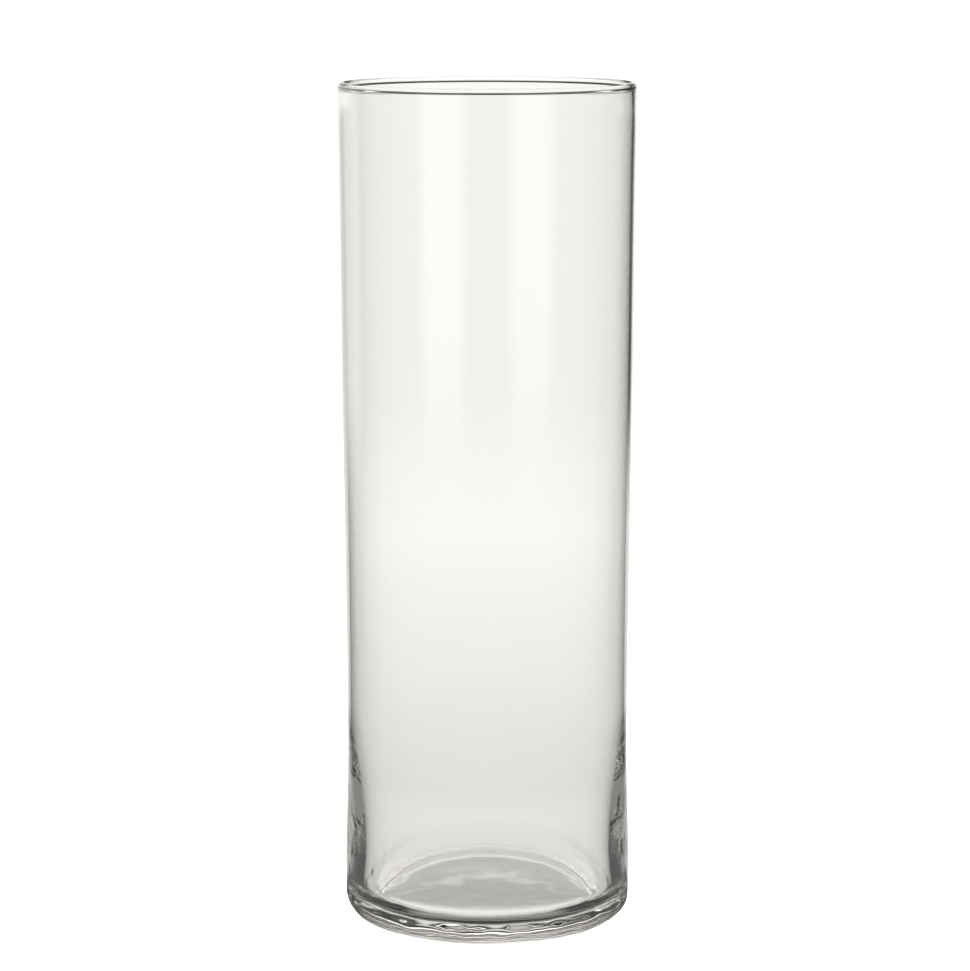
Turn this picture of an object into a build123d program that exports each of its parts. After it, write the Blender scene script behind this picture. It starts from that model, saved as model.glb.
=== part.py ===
"""Tall glass cylinder vase, one piece of blown and mould-finished clear glass.

Frame: millimetres, +Z up, origin at the centre of the ring that the vase stands on.
The glass is one closed wall of revolution, so its section is drawn once, in the XZ
plane, and turned about Z. The section runs from the middle of the underside, round the
heel, up the outside, over the rim, down the inside and back over the floor.
"""
from build123d import *
import os

# Outside
HEIGHT = 500.0
MOUTH_RADIUS = 87.5            # outer radius at the rim
SHOULDER_HEIGHT = 440.0        # below this the slight flare of the mouth dies away
SHOULDER_RADIUS = 86.9
MIDDLE_HEIGHT = 290.0
MIDDLE_RADIUS = 85.75
WAIST_HEIGHT = 108.0           # the narrowest place, just above the heavy foot
WAIST_RADIUS = 84.1
FOOT_RADIUS = 86.0             # outer radius where the foot is widest
HEEL_RADIUS = 13.0             # rounding between the foot and the underside

# Glass thickness
WALL = 2.5                     # through most of the body
RIM_THICKNESS = 3.8            # the fire-polished rim is a little thicker than the wall
RIM_LENGTH = 22.0              # depth over which the rim thins to the wall
NECK_INSIDE_RADIUS = 84.9      # inner radius where the rim has thinned to the wall
THICKENING_HEIGHT = 128.0      # below this the wall thickens, down to the foot
THICKENING_INSIDE_RADIUS = 81.9
FOOT_WALL = 10.5               # wall just above the inner corner
FLOOR_THICKNESS = 11.0
INNER_CORNER_RADIUS = 14.0

# Underside
STANDING_RING_WIDTH = 4.0      # flat ring that touches the table
HOLLOW_DEPTH = 0.7             # the middle of the underside is pushed up by this much

os.makedirs("parts", exist_ok=True)


def upright_spline(*points):
    """A smooth line through (radius, height) points that stands upright at both ends."""
    way = 1 if points[-1][1] > points[0][1] else -1
    return Spline(*points, tangents=[(0, way), (0, way)])


def draw_outside():
    """The outside, from the top of the heel over the waist to the foot of the rim."""
    waist = (WAIST_RADIUS, WAIST_HEIGHT)
    upright_spline((FOOT_RADIUS, HEEL_RADIUS), waist)
    upright_spline(waist, (MIDDLE_RADIUS, MIDDLE_HEIGHT), (SHOULDER_RADIUS, SHOULDER_HEIGHT),
                   (MOUTH_RADIUS, HEIGHT - RIM_THICKNESS / 2))


def draw_inside():
    """The inside, from the foot of the rim down to the top of the inner corner."""
    neck = (NECK_INSIDE_RADIUS, HEIGHT - RIM_LENGTH)
    thickening = (THICKENING_INSIDE_RADIUS, THICKENING_HEIGHT)
    upright_spline((MOUTH_RADIUS - RIM_THICKNESS, HEIGHT - RIM_THICKNESS / 2), neck)
    upright_spline(neck, (SHOULDER_RADIUS - WALL, SHOULDER_HEIGHT),
                   (MIDDLE_RADIUS - WALL, MIDDLE_HEIGHT), thickening)
    upright_spline(thickening, (FOOT_RADIUS - FOOT_WALL, FLOOR_THICKNESS + INNER_CORNER_RADIUS))


def glass_body():
    """The whole vase: a hollow cylinder with a heavy foot, closed at the bottom."""
    ring_outer = FOOT_RADIUS - HEEL_RADIUS
    ring_inner = ring_outer - STANDING_RING_WIDTH
    hollow_radius = (ring_inner ** 2 + HOLLOW_DEPTH ** 2) / (2 * HOLLOW_DEPTH)
    corner_radius = FOOT_RADIUS - FOOT_WALL

    with BuildPart() as body:
        with BuildSketch(Plane.XZ):
            with BuildLine():
                RadiusArc((0, HOLLOW_DEPTH), (ring_inner, 0), hollow_radius)
                Line((ring_inner, 0), (ring_outer, 0))
                CenterArc((ring_outer, HEEL_RADIUS), HEEL_RADIUS, -90, 90)
                draw_outside()
                CenterArc((MOUTH_RADIUS - RIM_THICKNESS / 2, HEIGHT - RIM_THICKNESS / 2),
                          RIM_THICKNESS / 2, 0, 180)
                draw_inside()
                CenterArc((corner_radius - INNER_CORNER_RADIUS, FLOOR_THICKNESS + INNER_CORNER_RADIUS),
                          INNER_CORNER_RADIUS, 0, -90)
                Line((corner_radius - INNER_CORNER_RADIUS, FLOOR_THICKNESS), (0, FLOOR_THICKNESS))
                Line((0, FLOOR_THICKNESS), (0, HOLLOW_DEPTH))
            make_face()
        revolve(axis=Axis.Z)
    return body.part


export_step(glass_body(), "parts/glass_body.step")
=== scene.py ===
import bpy
import math
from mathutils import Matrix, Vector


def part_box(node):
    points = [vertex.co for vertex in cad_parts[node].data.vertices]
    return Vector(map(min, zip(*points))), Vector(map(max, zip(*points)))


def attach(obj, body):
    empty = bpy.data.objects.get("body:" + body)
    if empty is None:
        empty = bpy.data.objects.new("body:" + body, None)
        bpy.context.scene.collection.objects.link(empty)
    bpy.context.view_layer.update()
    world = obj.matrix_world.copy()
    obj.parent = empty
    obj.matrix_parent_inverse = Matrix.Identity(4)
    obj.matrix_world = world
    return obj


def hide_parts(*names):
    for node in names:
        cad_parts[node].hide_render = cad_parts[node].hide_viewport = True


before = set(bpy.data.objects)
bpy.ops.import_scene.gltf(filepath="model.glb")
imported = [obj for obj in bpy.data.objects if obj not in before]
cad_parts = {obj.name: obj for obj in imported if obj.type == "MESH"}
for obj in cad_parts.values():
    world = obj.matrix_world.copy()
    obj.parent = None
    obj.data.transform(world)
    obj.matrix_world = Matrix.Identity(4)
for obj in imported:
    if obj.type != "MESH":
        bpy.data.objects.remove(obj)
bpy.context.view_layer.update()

# ---------------------------------------------------------------------------
# Glass body: the whole vase is one gather of clear soda-lime glass, blown into
# a round mould. Its section is drawn from the middle of the underside, round
# the heel, over the fire-polished rim and down the inside, and is then turned.
# ---------------------------------------------------------------------------

MM = 0.001
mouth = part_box("glass_body")[1]
rim_top = mouth.z
mouth_radius = mouth.x
shoulder = 440 * MM
shoulder_radius = 86.9 * MM
middle = 290 * MM
middle_radius = 85.75 * MM
waist = 108 * MM
waist_radius = 84.1 * MM
foot_radius = 86.0 * MM
heel_radius = 13 * MM

wall = 2.5 * MM
rim_thickness = 3.8 * MM
rim_bead = rim_thickness / 2
bead_depth = 4 * MM
bead_swell = 0.5 * MM
rim_length = 22 * MM
neck_swell = 0.1 * MM
thickening = 128 * MM
thickening_inside = 81.9 * MM
foot_wall = 10.5 * MM
floor_thickness = 11 * MM
inner_corner = 14 * MM
ring_width = 4 * MM
hollow_depth = 0.7 * MM

arc_steps = 14
heel_steps = 16
ring_steps = 4
outside_steps = 10
inside_steps = 8
foot_steps = 24
facets_round = 512


def arc(centre, radius, start, end, steps):
    """Part of a circle in the section: degrees from straight out, and turning up."""
    turns = [math.radians(start + (end - start) * i / steps) for i in range(steps + 1)]
    return [(centre[0] + radius * math.cos(a), centre[1] + radius * math.sin(a)) for a in turns]


def blown_wall(stations, steps):
    """A smooth wall line through (radius, height) stations, upright at both ends."""
    slopes = [0.0]
    for before, after in zip(stations, stations[2:]):
        slopes.append((after[0] - before[0]) / (after[1] - before[1]))
    slopes.append(0.0)
    line = []
    for i, (start, end) in enumerate(zip(stations, stations[1:])):
        rise = end[1] - start[1]
        for k in range(1, steps + 1):
            t = k / steps
            radius = (start[0] * (1 + 2 * t) * (1 - t) ** 2 + end[0] * t * t * (3 - 2 * t)
                      + rise * t * (1 - t) * (slopes[i] * (1 - t) - slopes[i + 1] * t))
            line.append((radius, start[1] + rise * t))
    return line


standing_edge = foot_radius - heel_radius
hollow_edge = standing_edge - ring_width
hollow_radius = (hollow_edge ** 2 + hollow_depth ** 2) / (2 * hollow_depth)
hollow_turn = math.degrees(math.asin(hollow_edge / hollow_radius))
corner_centre = (foot_radius - foot_wall - inner_corner, floor_thickness + inner_corner)

section = arc((0, hollow_depth - hollow_radius), hollow_radius, 90, 90 - hollow_turn, arc_steps)
section += [(hollow_edge + ring_width * i / ring_steps, 0.0) for i in range(1, ring_steps)]
section += arc((standing_edge, heel_radius), heel_radius, -90, 0, heel_steps)
section += blown_wall([(foot_radius, heel_radius), (waist_radius, waist),
                       (middle_radius, middle), (shoulder_radius, shoulder),
                       (mouth_radius, rim_top - rim_bead)], outside_steps)
section += arc((mouth_radius - rim_bead, rim_top - rim_bead), rim_bead, 0, 180, arc_steps)[1:]
section += blown_wall([(mouth_radius - rim_thickness, rim_top - rim_bead),
                       (mouth_radius - wall - bead_swell, rim_top - bead_depth),
                       (mouth_radius - wall - neck_swell, rim_top - rim_length),
                       (shoulder_radius - wall, shoulder), (middle_radius - wall, middle),
                       (thickening_inside, thickening)], inside_steps)
section += blown_wall([(thickening_inside, thickening),
                       (foot_radius - foot_wall, corner_centre[1])], foot_steps)
section += arc(corner_centre, inner_corner, 0, -90, arc_steps)[1:]
section += [(corner_centre[0] * (1 - i / arc_steps), floor_thickness) for i in range(1, arc_steps + 1)]

bpy.ops.object.select_all(action="DESELECT")
bpy.ops.mesh.primitive_plane_add(size=2 * MM, location=(section[0][0], 0, section[0][1]))
glass = bpy.context.object
glass.name = "vase_glass"
bpy.ops.object.transform_apply(location=True, rotation=True, scale=True)
bpy.ops.object.mode_set(mode="EDIT")
bpy.ops.mesh.merge(type="CENTER")
for here, there in zip(section, section[1:]):
    step = (there[0] - here[0], 0, there[1] - here[1])
    bpy.ops.mesh.extrude_region_move(TRANSFORM_OT_translate={"value": step})
bpy.ops.mesh.select_all(action="SELECT")
bpy.ops.mesh.spin(steps=facets_round, angle=math.tau, center=(0, 0, 0), axis=(0, 0, 1))
bpy.ops.mesh.select_all(action="SELECT")
bpy.ops.mesh.remove_doubles(threshold=0.005 * MM)
bpy.ops.mesh.normals_make_consistent(inside=False)
bpy.ops.object.mode_set(mode="OBJECT")
bpy.ops.object.shade_smooth()

# The mould leaves the thick foot faintly uneven. The waves are full on the heel
# and fade out up the wall. They are slighter inside and in the hollow underneath,
# and leave the standing ring flat.

waves_end = 40 * MM
waves_fade = 25 * MM
slight = 0.12
more_in_corner = 0.2
hollow_fade = 8 * MM
inside_floor = floor_thickness / 2

foot_waves = glass.vertex_groups.new(name="foot_waves")
for vertex in glass.data.vertices:
    across = math.hypot(vertex.co.x, vertex.co.y)
    height = vertex.co.z
    strength = min(1.0, max(0.0, (waves_end - height) / waves_fade))
    if height > inside_floor and across < waist_radius - wall:
        strength *= slight + more_in_corner * (across > corner_centre[0])
    if height < inside_floor and across < standing_edge:
        strength = slight * min(1.0, max(0.0, (hollow_edge - across) / hollow_fade))
    if strength > 0:
        foot_waves.add([vertex.index], strength, "REPLACE")


def mould_waves(name, spacing, depth):
    """Presses soft waves into the foot: spacing is crest to crest, depth is crest to hollow."""
    clouds = bpy.data.textures.new(name, type="CLOUDS")
    clouds.noise_scale = spacing / 2
    clouds.noise_depth = 0
    bpy.context.view_layer.objects.active = glass
    bpy.ops.object.modifier_add(type="DISPLACE")
    waves = glass.modifiers[-1]
    waves.texture = clouds
    waves.texture_coords = "LOCAL"
    waves.vertex_group = "foot_waves"
    waves.mid_level = 1.0
    waves.strength = depth
    bpy.ops.object.modifier_apply(modifier=waves.name)


mould_waves("slow_waves", 30 * MM, 0.5 * MM)
mould_waves("mould_dents", 18 * MM, 0.5 * MM)


def to_linear(colour):
    """An sRGB hex colour as linear red, green, blue and alpha."""
    parts = [int(colour[i:i + 2], 16) / 255 for i in (1, 3, 5)]
    return [c / 12.92 if c <= 0.04045 else ((c + 0.055) / 1.055) ** 2.4 for c in parts] + [1.0]


def add_node(kind, values, **settings):
    """Adds a node to the tree in hand, and sets each named input or links it to an output."""
    node = tree.nodes.new(kind)
    for name, value in settings.items():
        setattr(node, name, value)
    for socket, value in values.items():
        if isinstance(value, bpy.types.NodeSocket):
            tree.links.new(value, node.inputs[socket])
        else:
            node.inputs[socket].default_value = value
    return node


def ramp(value, start, end, first, last, shape="LINEAR"):
    """Goes from first to last while the value goes from start to end, and stays there beyond."""
    node = add_node("ShaderNodeMapRange", {"Value": value, "From Min": start, "From Max": end,
                    "To Min": first, "To Max": last}, interpolation_type=shape)
    return node.outputs["Result"]


def both(first, second):
    """The product of two values."""
    return add_node("ShaderNodeMath", {0: first, 1: second}, operation="MULTIPLY").outputs[0]


# Soda-lime glass, mould-blown and fire-polished: clear and mirror smooth, so it
# shows by its bright and dark edges, with a faint warm grey where it is thick.

glass_finish = bpy.data.materials.new("clear_soda_lime_glass")
glass_finish.use_nodes = True
tree = glass_finish.node_tree
shader = tree.nodes["Principled BSDF"]
shader.inputs["Base Color"].default_value = (1, 1, 1, 1)
shader.inputs["IOR"].default_value = 1.52
shader.inputs["Transmission Weight"].default_value = 1.0
depth_tint = add_node("ShaderNodeVolumeAbsorption", {"Color": to_linear("#e9e8e6"), "Density": 8.0})
tree.links.new(depth_tint.outputs["Volume"], tree.nodes["Material Output"].inputs["Volume"])
place = add_node("ShaderNodeTexCoord", {}).outputs["Object"]

# The standing ring is dulled by the tables that it has been slid over, in scuffs
# about 2 mm across. The rest of the glass keeps its polish.

scuff = 2 * MM
above_table = add_node("ShaderNodeSeparateXYZ", {0: place}).outputs["Z"]
standing = ramp(above_table, 0.12 * MM, 0.04 * MM, 0.0, 0.4)
scuffs = add_node("ShaderNodeTexNoise", {"Vector": place, "Scale": 1 / scuff, "Detail": 2.0})
tree.links.new(both(standing, scuffs.outputs["Fac"]), shader.inputs["Roughness"])

# Blowing leaves long shallow waves in the wall, about 30 mm round by 120 mm tall,
# too slight to feel, that make the reflections waver.

wave_width = 30 * MM
wave_height = 120 * MM
drawn_out = add_node("ShaderNodeMapping", {"Vector": place, "Scale": (1, 1, wave_width / wave_height)})
waver = add_node("ShaderNodeTexNoise", {"Vector": drawn_out.outputs["Vector"],
                 "Scale": 1 / wave_width, "Detail": 0.0})
blown = add_node("ShaderNodeBump", {"Height": waver.outputs["Fac"], "Distance": 0.06 * MM})
tree.links.new(blown.outputs["Normal"], shader.inputs["Normal"])
glass.data.materials.append(glass_finish)

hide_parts("glass_body")
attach(glass, "root")

# ---------------------------------------------------------------------------
# Table: a plain pale sweep of paper, whose glow is painted light and shade. Straight
# through the glass it glows bright all round, with painted shade close to the vase.
# By reflection in the glass only the paper under the vase and a bright sheet painted
# behind it glow, and the dark rest draws the edges of the glass.
# ---------------------------------------------------------------------------

scene = bpy.context.scene
scene.view_settings.view_transform = "Standard"
scene.cycles.max_bounces = 32
scene.cycles.transmission_bounces = 32
scene.cycles.glossy_bounces = 24
scene.cycles.transparent_max_bounces = 16

warm_white = to_linear("#fffdf9")
endless = 9.0           # past every value that a band is asked about
thrown_back_share = 0.4

bpy.ops.object.select_all(action="DESELECT")
bpy.ops.mesh.primitive_circle_add(vertices=128, radius=3.0, fill_type="TRIFAN", location=(0, 0, 0))
table = bpy.context.object
table.name = "floor"
paper = bpy.data.materials.new("pale_paper_painted_glow")
paper.use_nodes = True
tree = paper.node_tree
shader = tree.nodes["Principled BSDF"]
shader.inputs["Roughness"].default_value = 0.9
shader.inputs["Specular IOR Level"].default_value = 0.0
shader.inputs["Emission Color"].default_value = warm_white
place = add_node("ShaderNodeTexCoord", {}).outputs["Object"]
reach = add_node("ShaderNodeVectorMath", {0: place}, operation="LENGTH").outputs["Value"]
seen_directly = add_node("ShaderNodeLightPath", {}).outputs["Is Camera Ray"]


def either(first, second):
    """The larger of two values."""
    return add_node("ShaderNodeMath", {0: first, 1: second}, operation="MAXIMUM").outputs[0]


def band(value, low, high, soft):
    """One between a low and a high value, fading to nothing over a soft edge at each."""
    above = ramp(value, low - soft, low + soft, 0.0, 1.0, "SMOOTHSTEP")
    below = ramp(value, high + soft, high - soft, 0.0, 1.0, "SMOOTHSTEP")
    return both(above, below)


def choose(share, without, fully):
    """Blends two strengths: the first where the share is nothing, the second where it is one."""
    return add_node("ShaderNodeMix", {0: share, 2: without, 3: fully}, data_type="FLOAT").outputs[0]


def reflected_share():
    """One for light that the glass has reflected, and nothing for light straight through it."""
    depth = add_node("ShaderNodeLightPath", {}).outputs["Glossy Depth"]
    return add_node("ShaderNodeMath", {0: depth, 1: 1.0}, operation="MINIMUM").outputs[0]


def edge_shade():
    """One, or a smaller share for light that the glass has let in and thrown back inside."""
    path = add_node("ShaderNodeLightPath", {}).outputs
    thrown_back = both(path["Glossy Depth"], path["Transmission Depth"])
    return ramp(thrown_back, 0.0, 1.0, 1.0, thrown_back_share)


# Distances on the table are metres from the middle of the vase. Bearing is one
# straight behind it, nothing at its sides and minus one in front.

compass = add_node("ShaderNodeSeparateXYZ", {0: place}).outputs
bearing = add_node("ShaderNodeMath", {0: compass["Y"], 1: reach}, operation="DIVIDE").outputs[0]
# Painted shade and light: the paper's glow is dimmer close to the vase, a painted shade, and has a
# painted bright ring 0.10 to 0.18 m out.
brighter_away = ramp(reach, 0.09, 1.3, 0.71, 0.97)
bright_ring = ramp(band(reach, 0.10, 0.18, 0.03), 0.0, 1.0, 0.98, 1.06)
# Painted reflection: for light that the glass reflects, a bright sheet is painted on the paper behind
# the vase, and the paper right under the vase glows too; close beside the vase the sheet is held dark,
# a painted shade.
painted_bright_sheet = both(band(compass["X"], -0.26, 0.22, 0.05), band(compass["Y"], 0.0, endless, 0.05))
painted_bright_sheet = either(painted_bright_sheet, both(band(bearing, 0.84, endless, 0.04), band(reach, 0.45, endless, 0.1)))
clear_way = either(band(bearing, 0.52, endless, 0.05), band(reach, 0.32, endless, 0.07))
under_vase = band(reach, -endless, 0.082, 0.003)
heel_shadow = both(band(reach, 0.068, 0.089, 0.004), band(bearing, -0.75, 0.0, 0.08))
front_shadow = both(band(reach, 0.045, 0.0735, 0.002), band(bearing, -endless, -0.3, 0.1))
contact = ramp(either(heel_shadow, front_shadow), 0.0, 1.0, 1.0, 0.0)
painted_reflected_glow = either(either(both(painted_bright_sheet, clear_way), under_vase), 0.05)
by_reflection = both(both(painted_reflected_glow, contact), edge_shade())
through_glass = both(choose(reflected_share(), 1.0, by_reflection), both(brighter_away, bright_ring))
# Painted light: on top of the lamps' light the paper glows by these strengths, evenly for the camera.
tree.links.new(choose(seen_directly, through_glass, 0.85), shader.inputs["Emission Strength"])

# The paper's colour is painted twice: pale for the camera, and a darker, shaded grey for
# light through the glass. The paper fades into the white studio before its edge.

tone = add_node("ShaderNodeMix", {0: seen_directly, 6: to_linear("#595959"), 7: to_linear("#e7e7e7")},
                data_type="RGBA")
tree.links.new(tone.outputs[2], shader.inputs["Base Color"])
gone = ramp(reach, 1.0, 2.6, 0.0, 1.0, "SMOOTHERSTEP")
beyond = add_node("ShaderNodeBsdfTransparent", {}).outputs["BSDF"]
sweep = add_node("ShaderNodeMixShader", {0: gone, 1: shader.outputs["BSDF"], 2: beyond})
tree.links.new(sweep.outputs["Shader"], tree.nodes["Material Output"].inputs["Surface"])
table.data.materials.append(paper)

# ---------------------------------------------------------------------------
# Studio light: straight through the glass it is a bright backdrop all round. By
# reflection it is upright cards: two behind the vase, and two tall ones in front,
# left and right, that draw the long bright bands. The camera sees plain white.
# ---------------------------------------------------------------------------

studio = bpy.data.worlds.new("studio")
scene.world = studio
studio.use_nodes = True
tree = studio.node_tree
look = add_node("ShaderNodeTexCoord", {}).outputs["Generated"]
climb = add_node("ShaderNodeSeparateXYZ", {0: look}).outputs["Z"]
behind = add_node("ShaderNodeSeparateXYZ", {0: look}).outputs["Y"]
path = add_node("ShaderNodeLightPath", {}).outputs


def sine(degrees):
    return math.sin(math.radians(degrees))


def cosine(degrees):
    return math.cos(math.radians(degrees))


def card(azimuth, half_width, soft, bottom, top, light):
    """Light from an upright card. Its azimuth is clockwise from +Y, its lower and upper edge
    are heights over the horizon, and all of these and its widths are in degrees."""
    toward = (sine(azimuth), cosine(azimuth), 0)
    facing = add_node("ShaderNodeVectorMath", {0: look, 1: toward}, operation="DOT_PRODUCT")
    across = ramp(facing.outputs["Value"], cosine(half_width + soft),
                  cosine(max(half_width - soft, 0.5)), 0.0, light, "SMOOTHSTEP")
    lower = ramp(climb, sine(bottom - 3), sine(bottom + 3), 0.0, 1.0, "SMOOTHSTEP")
    upper = ramp(climb, sine(top + 3), sine(top - 3), 0.0, 1.0, "SMOOTHSTEP")
    return both(both(lower, upper), across)


CARDS = [(-20, 40, 4, -30, 8, 1.06), (-44, 16, 8, -30, 8, 1.3),
         (144, 17, 8, -9, 40, 1.0), (-144, 17, 8, -9, 40, 1.3)]
dark_room = 0.08

cards = card(*CARDS[0])
for values in CARDS[1:]:
    cards = either(cards, card(*values))
backdrop_only = both(band(climb, sine(0), endless, 0.04), band(behind, cosine(50), endless, 0.08))
unshaded = either(edge_shade(), backdrop_only)
cards = both(cards, unshaded)
all_round = both(band(climb, -endless, sine(8), sine(3)), 1.06)
light = either(choose(reflected_share(), all_round, cards), dark_room)

# Low down the table seems to go on past its edge, and high up is a bright ceiling,
# whose middle is never dimmed for light that the paper scatters.

table_far = ramp(climb, sine(-10), sine(-17), 0.0, 0.8, "SMOOTHSTEP")
overhead = ramp(climb, sine(17), sine(22), 0.0, 2.0, "SMOOTHSTEP")
ceiling = ramp(climb, sine(35), sine(60), 0.0, 1.0, "SMOOTHSTEP")
light = either(either(light, both(table_far, edge_shade())), both(overhead, unshaded))
light = either(light, both(ceiling, path["Is Diffuse Ray"]))
light = either(light, path["Is Camera Ray"])
backdrop = tree.nodes["Background"]
tree.links.new(light, backdrop.inputs["Strength"])
tint = add_node("ShaderNodeMix", {0: path["Is Camera Ray"], 6: warm_white, 7: to_linear("#ffffff")},
                data_type="RGBA")
tree.links.new(tint.outputs[2], backdrop.inputs["Color"])

# ---------------------------------------------------------------------------
# Camera: two metres in front of the vase, a little above its rim, with a long
# lens, looking down at the middle of the body.
# ---------------------------------------------------------------------------

camera_data = bpy.data.cameras.new("camera")
camera_data.lens = 122.86
camera_data.sensor_width = 36.0
looking_down = 9.393
camera = bpy.data.objects.new("camera", camera_data)
camera.location = (-0.0014, -1.95, 0.5836)
camera.rotation_euler = (math.radians(90 - looking_down), 0, 0)
scene.collection.objects.link(camera)
scene.camera = camera
